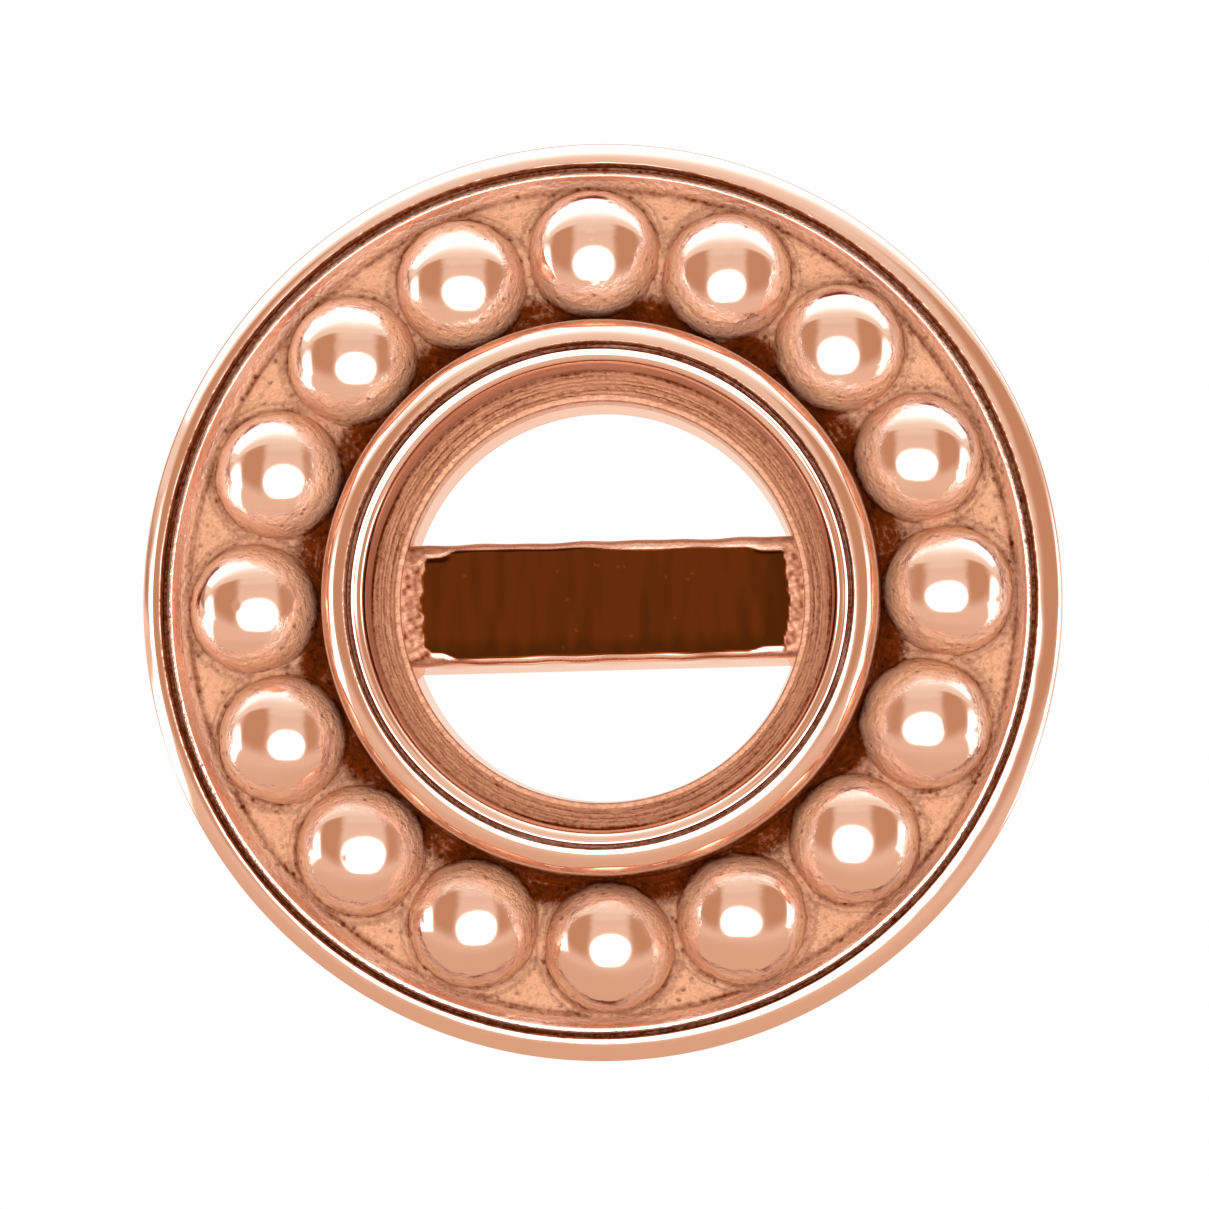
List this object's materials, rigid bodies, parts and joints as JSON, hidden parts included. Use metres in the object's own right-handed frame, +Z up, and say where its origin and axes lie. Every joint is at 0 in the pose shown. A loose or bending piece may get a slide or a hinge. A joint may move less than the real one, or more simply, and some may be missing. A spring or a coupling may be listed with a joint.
{
  "type": "earring setting",
  "caption": "Round stud mounting in rose gold: rimmed back with a cross bar, ring of domed beads, open cup for a round stone, and an ear post.",
  "frame": {"origin": "middle of the floor area that the jewel covers, on the ground it lies on", "axes": "+Z up, +X to the right of the jewel's face, -Y towards its front; the face looks forward and up, the post points back and down"},
  "size_m": [0.014, 0.013, 0.0122],
  "materials": {
    "polished_rose_gold": "polished 14 carat rose gold",
    "cast_rose_gold": "cast 14 carat rose gold, beads polished, floor left rough",
    "turned_rose_gold": "14 carat rose gold, inside cut with a burr, lip polished"
  },
  "bodies": {
    "root": {"back_tray": "polished_rose_gold", "beaded_ring": "cast_rose_gold", "stone_cup": "turned_rose_gold", "ear_post": "polished_rose_gold"}
  },
  "joints": []
}
